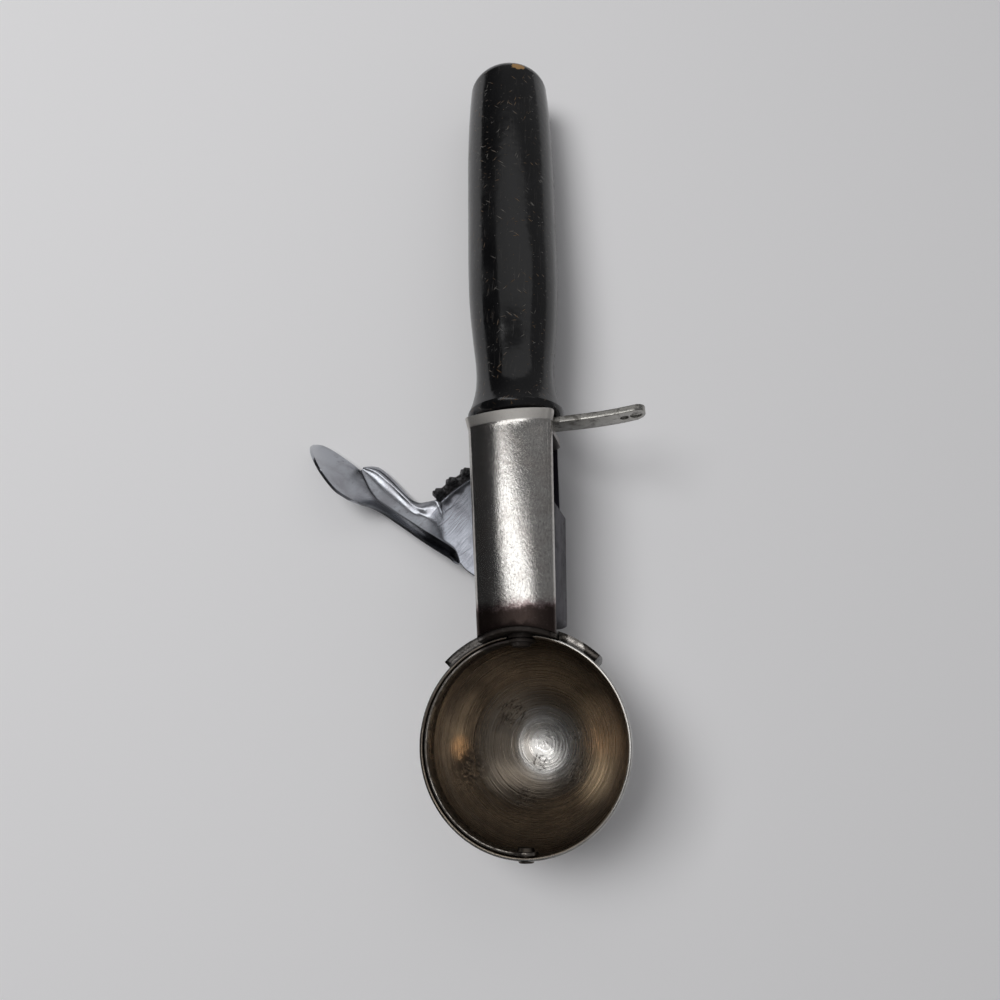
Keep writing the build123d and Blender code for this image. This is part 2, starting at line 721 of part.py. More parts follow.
# ---------------------------------------------------------------- return spring
spring_from = collar_end + spring_end_gap + spring_wire_radius
spring_to = hub_start - spring_end_gap - spring_wire_radius
spring_radius = shaft_radius + spring_gap + spring_wire_radius
with BuildPart() as return_spring:
    with BuildLine() as coil:
        Helix(pitch=(spring_to - spring_from) / spring_turns, height=spring_to - spring_from,
              radius=spring_radius, center=(0, spring_from, 0), direction=(0, 1, 0))
    with BuildSketch(Plane(origin=coil.line @ 0, z_dir=coil.line % 0)):
        Circle(spring_wire_radius)
    sweep(is_frenet=True)
return_spring.part.label = "return_spring"

# ---------------------------------------------------------------- tang, finger rest, handle
with BuildPart() as handle_tang:
    plate_inset = sheet + tang_plate_gap
    extrude(trough_section(tang_plate_start, plate_inset), amount=-tang_plate_thickness)
    extrude(cover_section(tang_plate_start, plate_inset), amount=-tang_plate_thickness)
    with BuildSketch(across(housing_length)):
        Circle(tang_radius)
    extrude(amount=-tang_length)
    chamfer(handle_tang.faces().sort_by(Axis.Y)[-1].edges(), length=tang_point)
    with BuildSketch(across(tang_plate_start)):
        Circle(shaft_radius + running_gap)
    extrude(amount=-tang_bore_depth, mode=Mode.SUBTRACT)
handle_tang.part.label = "handle_tang"

with BuildPart() as finger_rest:
    with BuildSketch(across(finger_start)):
        Circle(finger_ring_radius)
        with Locations((finger_reach / 2, finger_top - finger_height / 2)):
            RectangleRounded(finger_reach, finger_height, finger_tip_round)
        Circle(tang_radius + seat_gap, mode=Mode.SUBTRACT)
    extrude(amount=-finger_rest_thickness - finger_bend)
    # Swept slightly towards the handle
    with BuildSketch(Plane.XY.offset(-finger_ring_radius)):
        with BuildLine():
            near = Spline((finger_bend_start, finger_start),
                          (finger_bend_middle, finger_start + finger_bend_middle_rise),
                          (finger_reach, finger_start + finger_bend), tangents=((1, 0), (1, finger_bend_slope)))
            far = Spline((finger_reach, finger_end + finger_bend),
                         (finger_bend_middle, finger_end + finger_bend_middle_rise),
                         (finger_bend_start, finger_end), tangents=((-1, -finger_bend_slope), (-1, 0)))
            Line(near @ 1, far @ 0)
            Polyline(far @ 1, (-finger_ring_radius, finger_end), (-finger_ring_radius, finger_start), near @ 0)
        make_face()
    extrude(amount=2 * finger_ring_radius, mode=Mode.INTERSECT)
    # Two shallow dents in the face towards the bowl
    for x, radius in finger_dents:
        dent_y = finger_start + finger_bend * ((x - finger_bend_start) / (finger_reach - finger_bend_start)) ** 2
        with BuildSketch(across(dent_y + finger_dent_depth)):
            with Locations((x, finger_top - finger_height / 2)):
                Circle(radius)
        extrude(amount=finger_rest_thickness, mode=Mode.SUBTRACT)
finger_rest.part.label = "finger_rest"

with BuildPart() as handle:
    with BuildSketch(Plane.XY):
        with BuildLine():
            face = Line((0, handle_start), (handle_face_radius, handle_start))
            flare = EllipticalCenterArc((handle_face_radius, handle_start + handle_flare_length),
                                        handle_flare_radius - handle_face_radius, handle_flare_length, -90,
                                        arc_size=90)
            grip = Spline(
                flare @ 1,
                (handle_neck_radius, handle_start + handle_neck_length),
                (handle_waist_radius, handle_start + handle_waist_length),
                (handle_neck_radius, handle_start + handle_rise_length),
                (handle_swell_radius, handle_start + handle_swell_length),
                (handle_grip_radius, handle_start + handle_grip_start),
                (handle_grip_radius, handle_start + handle_grip_end),
                (handle_taper_radius, handle_start + handle_taper_length),
                (handle_end_radius, handle_start + handle_length - handle_dome_length),
            )
            dome = EllipticalCenterArc((handle_tip_flat, handle_start + handle_length - handle_dome_length),
                                       handle_end_radius - handle_tip_flat, handle_dome_length, 0, arc_size=90)
            Polyline(dome @ 1, (0, handle_start + handle_length), face @ 0)
        make_face()
    revolve(axis=Axis.Y)
    with BuildSketch(across(handle_start)):
        Circle(tang_radius + seat_gap)
    extrude(amount=-(tang_end - handle_start + handle_bore_spare), mode=Mode.SUBTRACT)
handle.part.label = "handle"

# ---------------------------------------------------------------- lay it down and save
pieces = [bowl, bowl_bracket, back_frame, front_cover, bracket_rivets, shaft_bushing, scraper_shaft,
          shaft_collar, collar_pin, pinion, pinion_pin, thrust_washer, scraper, scraper_pin, thumb_lever,
          pivot_washer, lever_pivot_pin, return_spring, handle_tang, finger_rest, handle]

# The table touches the bowl, the handle's end and the thumb lever
handle_profile = [grip @ (step / 60) for step in range(61)] + [dome @ (step / 20) for step in range(21)]
lie_pitch = min(asin(bowl_radius / hypot(spot.Y, spot.X)) - atan2(spot.X, spot.Y) for spot in handle_profile)
lever_spots = [edge @ (step / 8) for edge in thumb_lever.part.edges() for step in range(9)]
lie_roll = min(
    atan2(spot.Z, -spot.X) - asin((spot.Y * sin(lie_pitch) - bowl_radius) / cos(lie_pitch) / hypot(spot.X, spot.Z))
    for spot in lever_spots if spot.X < -bowl_radius
)
table_up = Vector(sin(lie_roll) * cos(lie_pitch), -sin(lie_pitch), cos(lie_roll) * cos(lie_pitch))
along = (Vector(0, 1, 0) - table_up * table_up.Y).normalized()
laid = Plane(origin=(0, 0, 0), x_dir=along.cross(table_up), z_dir=table_up).location.inverse()
box = Compound(children=[laid * piece.part for piece in pieces]).bounding_box()
lie = Location((-box.center().X, -box.center().Y, bowl_radius)) * laid
for piece in pieces:
    placed = lie * piece.part
    placed.label = piece.part.label
    export_step(placed, f"parts/{placed.label}.step")
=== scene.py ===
"""Dresses the lever ice cream scoop: worn steel, stained bowl, lacquered wood, floor, light and camera."""

import math

import bmesh
import bpy
from mathutils import Matrix, Vector


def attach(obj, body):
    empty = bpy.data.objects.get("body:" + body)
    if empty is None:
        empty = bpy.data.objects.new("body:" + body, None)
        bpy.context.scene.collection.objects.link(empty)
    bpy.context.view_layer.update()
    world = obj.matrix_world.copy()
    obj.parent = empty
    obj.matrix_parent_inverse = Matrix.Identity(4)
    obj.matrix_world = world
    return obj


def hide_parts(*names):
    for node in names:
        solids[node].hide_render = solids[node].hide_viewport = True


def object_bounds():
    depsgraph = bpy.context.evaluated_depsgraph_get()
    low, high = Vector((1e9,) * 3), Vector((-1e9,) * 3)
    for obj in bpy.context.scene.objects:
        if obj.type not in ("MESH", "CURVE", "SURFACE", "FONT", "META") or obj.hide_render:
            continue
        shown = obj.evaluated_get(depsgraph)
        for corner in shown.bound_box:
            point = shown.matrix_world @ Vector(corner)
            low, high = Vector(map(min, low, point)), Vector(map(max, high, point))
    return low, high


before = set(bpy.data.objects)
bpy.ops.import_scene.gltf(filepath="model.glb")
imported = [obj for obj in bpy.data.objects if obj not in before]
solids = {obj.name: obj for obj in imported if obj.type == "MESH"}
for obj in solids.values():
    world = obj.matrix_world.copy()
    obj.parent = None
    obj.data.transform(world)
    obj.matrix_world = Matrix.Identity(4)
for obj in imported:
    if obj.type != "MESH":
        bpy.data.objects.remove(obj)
cad_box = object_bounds()

# The tool lies tipped on its bowl, pad and handle end. In its own frame, in mm, the bowl's centre
# is the origin, +Y runs to the handle and +Z out of the bowl. "own" places that frame on the floor.
own_x = Vector((0.9650690, 0.0195627, 0.2612646))
own_y = Vector((0.0, 0.9972084, -0.0746681))
own_z = Vector((-0.2619960, 0.0720598, 0.9623749))
bowl_centre = Vector((0.0110231, -0.0777969, 0.0235))
millimetre = 0.001
lie = Matrix.Translation(bowl_centre) @ Matrix((own_x, own_y, own_z)).transposed().to_4x4()
own = lie @ Matrix.Scale(millimetre, 4)


# ---------------------------------------------------------------- node helpers
def put(tree, kind, inputs=None, **settings):
    """Adds a node. Inputs are given by socket name or number, as values or as other nodes' sockets."""
    made = tree.nodes.new("ShaderNode" + kind)
    for key, value in settings.items():
        setattr(made, key, value)
    for key, value in (inputs or {}).items():
        if isinstance(value, bpy.types.NodeSocket):
            tree.links.new(value, made.inputs[key])
        else:
            made.inputs[key].default_value = value
    return made


def maths(tree, operation, *values):
    return put(tree, "Math", dict(enumerate(values)), operation=operation).outputs[0]


def times(tree, first, second):
    return maths(tree, "MULTIPLY", first, second)


def plus(tree, base, value, share):
    """The base plus a share of the value."""
    return maths(tree, "MULTIPLY_ADD", value, share, base)


def greatest(tree, first, *others):
    for other in others:
        first = maths(tree, "MAXIMUM", first, other)
    return first


def level(tree, value, low, high, out_low=0.0, out_high=1.0):
    """A soft step of the value between low and high."""
    return put(tree, "MapRange", {0: value, 1: low, 2: high, 3: out_low, 4: out_high},
               interpolation_type="SMOOTHSTEP").outputs[0]


def tint(tree, share, first, second):
    """The first colour turning into the second as the share goes from 0 to 1."""
    made = put(tree, "Mix", {0: share}, data_type="RGBA")
    for number, colour in ((6, first), (7, second)):
        if isinstance(colour, bpy.types.NodeSocket):
            tree.links.new(colour, made.inputs[number])
        else:
            made.inputs[number].default_value = (*colour, 1)
    return made.outputs[2]


def apart(tree, vector):
    return put(tree, "SeparateXYZ", {0: vector}).outputs


def join(tree, x, y, z=0.0):
    return put(tree, "CombineXYZ", {0: x, 1: y, 2: z}).outputs[0]


def scaled(tree, vector, factors):
    return put(tree, "VectorMath", {0: vector, 1: factors}, operation="MULTIPLY").outputs[0]


def about_z(tree, vector, angle):
    return put(tree, "VectorRotate", {0: vector, "Angle": angle}, rotation_type="Z_AXIS").outputs[0]


def length(tree, vector):
    return put(tree, "VectorMath", {0: vector}, operation="LENGTH").outputs["Value"]


def gap(tree, vector, spot):
    """How far the vector is from the spot."""
    return put(tree, "VectorMath", {0: vector, 1: spot}, operation="DISTANCE").outputs["Value"]


def noise(tree, vector, scale, detail, roughness=0.5):
    return put(tree, "TexNoise", {"Vector": vector, "Scale": scale, "Detail": detail,
                                  "Roughness": roughness}).outputs["Fac"]


# ---------------------------------------------------------------- masks
def mask_group(name, **values):
    """A node group that turns a vector and the named values into one mask."""
    group = bpy.data.node_groups.new(name, "ShaderNodeTree")
    group.interface.new_socket("Vector", in_out="INPUT", socket_type="NodeSocketVector")
    for socket, value in values.items():
        made = group.interface.new_socket(socket, in_out="INPUT", socket_type="NodeSocketFloat")
        made.default_value = value
    group.interface.new_socket("Mask", in_out="OUTPUT", socket_type="NodeSocketFloat")
    return group, group.nodes.new("NodeGroupInput").outputs, group.nodes.new("NodeGroupOutput").inputs["Mask"]


# Long fine streaks: brushing, drawing lines and scratches, by how high the threshold is
streaks, given, mask = mask_group("streaks", Fineness=2.0, Stretch=12.0, Turn=0.0, From=0.4, To=0.6)
streak_sway = (1.6, 0.0, 0.0)
turned = about_z(streaks, given["Vector"], given["Turn"])
swaying = put(streaks, "TexNoise", {"Vector": turned, "Scale": 0.12, "Detail": 1.0}).outputs["Color"]
swayed = put(streaks, "VectorMath", {0: swaying, 1: streak_sway, 2: turned}, operation="MULTIPLY_ADD").outputs[0]
along = maths(streaks, "DIVIDE", given["Fineness"], given["Stretch"])
drawn = scaled(streaks, swayed, join(streaks, given["Fineness"], along, given["Fineness"]))
streak = put(streaks, "MapRange", {0: noise(streaks, drawn, 1.0, 3.0, 0.6), 1: given["From"], 2: given["To"]})
streaks.links.new(streak.outputs[0], mask)

# Short nicks, each a thin dash in its own cell. Cells are deep, so that a nick runs on over a curve
nicks, given, mask = mask_group("nicks", Fineness=0.5, Stretch=8.0, Turn=0.0, Width=0.05, Kept=0.5)
nick_flatness = 0.25
turned = about_z(nicks, given["Vector"], given["Turn"])
along = maths(nicks, "DIVIDE", given["Fineness"], given["Stretch"])
deep = times(nicks, given["Fineness"], nick_flatness)
drawn = scaled(nicks, turned, join(nicks, given["Fineness"], along, deep))
cell = put(nicks, "TexVoronoi", {"Vector": drawn, "Scale": 1.0})
mark = put(nicks, "MapRange", {0: cell.outputs["Distance"], 1: given["Width"], 2: 0.0})
chance = put(nicks, "SeparateColor", {0: cell.outputs["Color"]})
kept = maths(nicks, "LESS_THAN", chance.outputs[0], given["Kept"])
nicks.links.new(times(nicks, mark.outputs[0], kept), mask)

# Stains and worn patches with ragged borders
patches, given, mask = mask_group("patches", Fineness=0.2, From=0.5, To=0.65, Raggedness=0.6)
cloud = put(patches, "TexNoise", {"Vector": given["Vector"], "Scale": given["Fineness"], "Detail": 6.0,
                                  "Roughness": given["Raggedness"], "Distortion": 0.4})
patches.links.new(level(patches, cloud.outputs["Fac"], given["From"], given["To"]), mask)

# Black grime worked into the neck, where the shaft passes from the housing into the bowl
grime, given, mask = mask_group("neck_grime")
neck_side, neck_near, neck_far = (11.6, 9.4), (17.5, 19.0), (26.0, 25.2)
place = apart(grime, given["Vector"])
ragged = noise(grime, given["Vector"], 0.7, 4.0, 0.65)
sideways = plus(grime, maths(grime, "ABSOLUTE", place[0]), ragged, 4.0)
soiled = times(grime, level(grime, sideways, *neck_side), level(grime, place[1], *neck_near))
soiled = times(grime, soiled, level(grime, place[1], *neck_far))
grime.links.new(times(grime, soiled, level(grime, ragged, 0.25, 0.5, 0.8, 1.0)), mask)


def use(tree, group, vector, **values):
    """The mask that a group makes of the vector and the values."""
    made = put(tree, "Group", {"Vector": vector}, node_tree=group)
    for key, value in values.items():
        made.inputs[key].default_value = value
    return made.outputs["Mask"]


def nicked(tree, mm, kinds):
    """Nicks of several kinds, each with its fineness, stretch, turn, width and kept share."""
    return greatest(tree, *(
        use(tree, nicks, mm, Fineness=fineness, Stretch=stretch, Turn=turn, Width=width, Kept=share)
        for fineness, stretch, turn, width, share in kinds))


# ---------------------------------------------------------------- finishes
def finish(name, metallic, roughness, gloss=0.5):
    """A bare material: itself, its node tree, its shader, and the tool's own mm as a vector."""
    material = bpy.data.materials.new(name)
    material.use_nodes = True
    tree = material.node_tree
    surface = tree.nodes["Principled BSDF"]
    surface.inputs["Metallic"].default_value = metallic
    surface.inputs["Roughness"].default_value = roughness
    surface.inputs["Specular IOR Level"].default_value = gloss
    where, turn, size = own.decompose()
    mm = put(tree, "Mapping", {
        "Vector": put(tree, "TexCoord").outputs["Object"], "Location": where, "Rotation": turn.to_euler(),
        "Scale": size}, vector_type="TEXTURE").outputs[0]
    return material, tree, surface, mm


def relief(tree, surface, height, depth, strength):
    """A bump of the height times the depth, in metres."""
    bump = put(tree, "Bump", {"Height": height, "Distance": depth, "Strength": strength})
    tree.links.new(bump.outputs[0], surface.inputs["Normal"])


def plain_steel(name, bright, dull, stain, roughness, stretch=10.0, turn=0.0, stained=0.56, metal=1.0,
                gloss=0.5, shade=None):
    """Worn sheet steel: brushing one way, patches of dull film, dark stains and stray scratches."""
    neck_black = (0.035, 0.028, 0.024)
    material, tree, surface, mm = finish(name, 1.0, roughness, gloss)
    brushed = use(tree, streaks, mm, Fineness=3.0, Stretch=stretch, Turn=turn, From=0.3, To=0.7)
    film = use(tree, patches, mm, Fineness=0.16, From=0.4, To=0.62)
    spots = use(tree, patches, mm, Fineness=0.45, From=stained, To=stained + 0.12, Raggedness=0.7)
    marks = greatest(
        tree, use(tree, streaks, mm, Fineness=1.6, Stretch=18.0, Turn=turn + 0.9, From=0.68, To=0.73),
        use(tree, nicks, mm, Fineness=0.9, Stretch=7.0, Turn=turn - 0.6, Width=0.07, Kept=0.5))
    colour = tint(tree, times(tree, film, 0.7), bright, dull)
    colour = tint(tree, times(tree, brushed, 0.25), colour, dull)
    colour = tint(tree, times(tree, spots, 0.6), colour, stain)
    colour = tint(tree, times(tree, marks, 0.5), colour, stain)
    if shade:
        colour = shade(tree, mm, colour)
    soiled = use(tree, grime, mm)
    tree.links.new(tint(tree, soiled, colour, neck_black), surface.inputs["Base Color"])
    tree.links.new(plus(tree, metal, soiled, -0.6 * metal), surface.inputs["Metallic"])
    rough = plus(tree, roughness - 0.05, brushed, 0.1)
    rough = plus(tree, rough, film, 0.08)
    rough = plus(tree, rough, spots, 0.15)
    tree.links.new(plus(tree, rough, soiled, 0.25), surface.inputs["Roughness"])
    relief(tree, surface, plus(tree, brushed, marks, -1.5), 0.00001, 0.6)
    return material


def ear_painted_shade(tree, mm, colour):
    """Painted shade on the ends of the bracket's right ear, around its mirrored bright middle, and on the left
    ear's outer part, which leaves its inner edge bright as a painted highlight.
    """
    near_black, left_ear_shade_grey = (0.045, 0.04, 0.036), (0.075, 0.07, 0.066)
    right_tip, right_root, right_side = (15.2, 15.6), (12.0, 11.6), (3.0, 4.0)
    left_side, outer_part = (-3.0, -4.0), (24.35, 24.55)
    place = apart(tree, mm)
    ragged = noise(tree, mm, 1.1, 4.0, 0.7)
    aside = plus(tree, place[0], ragged, 2.4)
    # Painted shade: the right ear's two ends are darkened around its bright middle
    ends = greatest(tree, level(tree, aside, *right_tip), level(tree, aside, *right_root))
    ends = times(tree, ends, level(tree, place[0], *right_side))
    out = plus(tree, length(tree, join(tree, place[0], place[1])), ragged, 0.8)
    # Painted shade on the left ear's outer part, so that its inner edge stands out as a painted highlight
    dull = times(tree, level(tree, place[0], *left_side), level(tree, out, *outer_part))
    return tint(tree, dull, tint(tree, ends, colour, near_black), left_ear_shade_grey)


def cover_finish():
    """The pressed cover: scoured to a sandy grain with painted glints, painted pale on its flared lip as a
    painted highlight, darker brown towards the bowl.
    """
    bright, brushed_grey, filmed = (0.60, 0.585, 0.56), (0.50, 0.485, 0.465), (0.47, 0.445, 0.42)
    hollow_dark, glint, pale = (0.20, 0.19, 0.185), (0.85, 0.83, 0.80), (0.66, 0.635, 0.60)
    purple, brown, nick_dark = (0.22, 0.165, 0.165), (0.05, 0.036, 0.032), (0.15, 0.13, 0.12)
    lip_start, purple_border, brown_border = (71.5, 72.1), (28.4, 26.0), (27.2, 25.0)
    grain_fineness = (2.6, 1.4, 2.6)
    pits_and_scratches = ((2.2, 5.0, 0.5, 0.13, 0.6), (2.0, 8.0, -0.9, 0.12, 0.6),
                          (1.8, 9.0, 1.7, 0.12, 0.6), (3.4, 1.3, 0.0, 0.24, 0.6))
    material, tree, surface, mm = finish("brushed_cover_steel", 1.0, 0.3)
    place = apart(tree, mm)
    brushed = use(tree, streaks, mm, Fineness=5.0, Stretch=30.0, From=0.3, To=0.7)
    film = use(tree, patches, mm, Fineness=0.14, From=0.42, To=0.66)
    sand = noise(tree, scaled(tree, mm, grain_fineness), 1.0, 3.0, 0.65)
    colour = tint(tree, brushed, bright, brushed_grey)
    colour = tint(tree, film, colour, filmed)
    colour = tint(tree, level(tree, sand, 0.5, 0.68, 0.0, 0.4), colour, hollow_dark)
    colour = tint(tree, level(tree, sand, 0.44, 0.3, 0.0, 0.3), colour, glint)
    # Painted highlight: the flared lip is painted pale
    lip = level(tree, place[1], *lip_start)
    colour = tint(tree, lip, colour, pale)
    # Purple, then dark brown towards where the cover meets the bowl
    off_bowl = plus(tree, place[1], noise(tree, mm, 0.8, 5.0, 0.7), -5.0)
    colour = tint(tree, level(tree, off_bowl, *purple_border), colour, purple)
    toward_bowl_dark = level(tree, off_bowl, *brown_border)
    colour = tint(tree, toward_bowl_dark, colour, brown)
    hurt = nicked(tree, mm, pits_and_scratches)
    tree.links.new(tint(tree, times(tree, hurt, 0.6), colour, nick_dark), surface.inputs["Base Color"])
    rough = plus(tree, 0.15, brushed, 0.05)
    rough = plus(tree, rough, film, 0.04)
    rough = plus(tree, rough, lip, 0.3)
    tree.links.new(plus(tree, rough, toward_bowl_dark, 0.15), surface.inputs["Roughness"])
    relief(tree, surface, plus(tree, sand, hurt, -0.5), 0.00003, 0.8)
    return material


def bowl_finish():
    """The spun bowl: turning rings, bronze stains and golden painted reflections on its wall, a scoured middle
    that is also a painted highlight, a rim painted black as painted shade on the left and grimy at the neck.
    """
    bronze, brown, worn_bronze = (0.35, 0.29, 0.225), (0.20, 0.167, 0.135), (0.42, 0.36, 0.29)
    scoured, ring_dark, score_black = (0.93, 0.91, 0.88), (0.16, 0.13, 0.105), (0.05, 0.04, 0.035)
    silver, filmed, ring_grey = (0.60, 0.59, 0.57), (0.46, 0.44, 0.415), (0.40, 0.385, 0.37)
    near_black = (0.045, 0.04, 0.036)
    mid_wall = (23.15, 22.95)
    # The middle is scoured, and its pale colour is also a painted highlight
    scoured_and_highlight_middle, scoured_and_highlight_border = (2.2, -0.6, 0), (13.0, 5.0)
    # Each patch's middle, the distances where it starts and is full, its share and colour: two golden painted
    # reflections on the right wall, a narrow one on the left, and a dark patch above that
    golden_reflections_and_dark_patch = (((15.4, 3.0, -15.8), (11.0, 3.0), 0.9, (0.98, 0.80, 0.62)),
                   ((13.4, -8.0, -16.0), (8.0, 2.0), 0.9, (0.92, 0.80, 0.62)),
                   ((-18.4, -0.6, -13.0), (4.0, 0.8), 0.9, (0.95, 0.64, 0.38)),
                   ((-16.2, 10.3, -12.1), (8.5, 4.0), 0.75, (0.10, 0.083, 0.07)))
    # Black scores: the fineness, turn and threshold of each kind, and each cluster's middle and radius
    score_kinds = ((2.2, 0.5, 0.57), (2.4, -0.7, 0.59), (2.0, 1.4, 0.59))
    score_clusters = (((-7.4, 7.4, -20.2), 3.6), ((8.0, 2.2, -21.1), 2.2), ((8.0, -6.8, -20.1), 3.4),
                      ((-1.0, -4.2, -22.3), 2.4), ((-4.3, -12.1, -18.7), 2.6))
    # A dark smear at the left
    smear_middle, smear_border = (-14.5, -4.5, -13.0), (6.5, 3.0)
    # Where the rim is painted black: on the left as painted shade, and up to which height
    shaded_rim_side, shaded_rim_end, dark_rim_height = (-5.0, -8.0), (-18.0, -14.0), (-1.0, 0.5)

    material, tree, surface, mm = finish("bowl_steel_stains_and_painted_reflections", 1.0, 0.3)
    place = apart(tree, mm)
    out = length(tree, join(tree, place[0], place[1]))
    angle = maths(tree, "ARCTAN2", place[1], place[0])
    below_rim = maths(tree, "MINIMUM", place[2], 0.0)
    inside = level(tree, length(tree, join(tree, place[0], place[1], below_rim)), *mid_wall)
    # Rings follow the spun wall: fine across, long round it
    tilt = maths(tree, "ARCTAN2", out, times(tree, below_rim, -1.0))
    around = join(tree, times(tree, tilt, 60.0), times(tree, maths(tree, "SINE", angle), 1.2),
                  times(tree, maths(tree, "COSINE", angle), 1.2))
    rings = level(tree, noise(tree, around, 0.8, 3.0, 0.6), 0.35, 0.65)
    broad = level(tree, noise(tree, around, 0.14, 4.0, 0.6), 0.35, 0.62)

    off_middle = gap(tree, join(tree, place[0], place[1]), scoured_and_highlight_middle)
    middle = level(tree, plus(tree, off_middle, broad, 3.0), *scoured_and_highlight_border)
    stained = use(tree, patches, mm, Fineness=0.11, From=0.35, To=0.65, Raggedness=0.65)
    wall = tint(tree, stained, bronze, brown)
    wall = tint(tree, times(tree, broad, 0.45), wall, worn_bronze)
    # Painted reflections: the golden patches stand in for light mirrored between the walls; the last patch is
    # only darker
    for spot, border, share, patch_colour in golden_reflections_and_dark_patch:
        near = level(tree, gap(tree, mm, spot), *border)
        wall = tint(tree, times(tree, near, share), wall, patch_colour)
    # Painted highlight: the scoured middle is painted pale
    wall = tint(tree, middle, wall, scoured)
    wall = tint(tree, times(tree, rings, 0.22), wall, ring_dark)

    score = greatest(tree, *(
        use(tree, streaks, mm, Fineness=fineness, Stretch=7.0, Turn=turn, From=above, To=above + 0.04)
        for fineness, turn, above in score_kinds))
    ragged = noise(tree, mm, 0.5, 3.0)
    clusters = greatest(tree, *(
        level(tree, plus(tree, gap(tree, mm, spot), ragged, -3.0), radius - 1.0, radius - 2.4)
        for spot, radius in score_clusters))
    smear = times(tree, level(tree, gap(tree, mm, smear_middle), *smear_border),
                  use(tree, streaks, mm, Fineness=0.9, Stretch=5.0, Turn=1.5708, From=0.42, To=0.56))
    worked = greatest(tree, times(tree, clusters, score), smear)
    wall = tint(tree, times(tree, worked, 0.8), wall, score_black)

    film = use(tree, patches, mm, Fineness=0.2, From=0.45, To=0.65)
    outer = tint(tree, film, silver, filmed)
    outer = tint(tree, times(tree, rings, 0.3), outer, ring_grey)
    # The rim is painted black: on the left as painted shade, and at the neck as grime
    rim_shade_and_grime = times(tree, level(tree, place[0], *shaded_rim_side), level(tree, place[1], *shaded_rim_end))
    rim_shade_and_grime = greatest(tree, rim_shade_and_grime, use(tree, grime, mm))
    rim_shade_and_grime = times(tree, rim_shade_and_grime, level(tree, place[2], *dark_rim_height))
    outer = tint(tree, times(tree, rim_shade_and_grime, 0.9), outer, near_black)

    tree.links.new(tint(tree, inside, outer, wall), surface.inputs["Base Color"])
    rough = plus(tree, 0.2, rings, 0.1)
    rough = plus(tree, rough, times(tree, middle, inside), 0.04)
    tree.links.new(plus(tree, rough, worked, 0.2), surface.inputs["Roughness"])
    height = plus(tree, rings, broad, 1.6)
    relief(tree, surface, plus(tree, height, worked, -1.0), 0.00002, 0.8)
    return material


def lacquer_finish():
    """Black lacquer on turned wood: glossy, scuffed, nicked through to brown, chipped at the end."""
    black, worn_black, scuff_grey = (0.0035, 0.0035, 0.004), (0.007, 0.007, 0.0075), (0.06, 0.055, 0.05)
    brown_wood, grey_wood, chip_wood = (0.30, 0.17, 0.07), (0.33, 0.31, 0.28), (0.36, 0.21, 0.085)
    nick_kinds = ((2.1, 10.0, 0.3, 0.2, 0.17), (1.9, 12.0, -0.8, 0.19, 0.2), (2.2, 9.0, 1.5, 0.2, 0.15),
                  (2.6, 1.6, 0.9, 0.24, 0.12), (1.8, 13.0, 2.3, 0.19, 0.2), (2.3, 11.0, 0.9, 0.19, 0.17))
    # The chip is twice as wide as it is high
    chip_squeeze, chip_middle, chip_border = (0.5, 1.0, 1.0), (2.4, 174.9, 9.1), (0.5, 0.2)
    material, tree, surface, mm = finish("handle_lacquer", 0.0, 0.12)
    worn = use(tree, patches, mm, Fineness=0.09, From=0.42, To=0.68)
    scuffs = use(tree, streaks, mm, Fineness=2.2, Stretch=25.0, Turn=0.05, From=0.6, To=0.7)
    knocked = use(tree, patches, mm, Fineness=0.13, From=0.34, To=0.5)
    hurt = times(tree, nicked(tree, mm, nick_kinds), knocked)
    under = tint(tree, level(tree, noise(tree, mm, 0.35, 2.0), 0.42, 0.58), brown_wood, grey_wood)
    colour = tint(tree, worn, black, worn_black)
    colour = tint(tree, times(tree, scuffs, 0.25), colour, scuff_grey)
    colour = tint(tree, times(tree, hurt, 0.65), colour, under)
    off_chip = gap(tree, scaled(tree, mm, chip_squeeze), chip_middle)
    chip = level(tree, plus(tree, off_chip, noise(tree, mm, 0.9, 3.0), -1.6), *chip_border)
    tree.links.new(tint(tree, chip, colour, chip_wood), surface.inputs["Base Color"])
    bare = greatest(tree, hurt, chip)
    rough = plus(tree, 0.13, worn, 0.12)
    rough = plus(tree, rough, scuffs, 0.12)
    tree.links.new(plus(tree, rough, bare, 0.5), surface.inputs["Roughness"])
    relief(tree, surface, plus(tree, noise(tree, mm, 0.5, 1.0), bare, -1.2), 0.00006, 0.5)
    return material


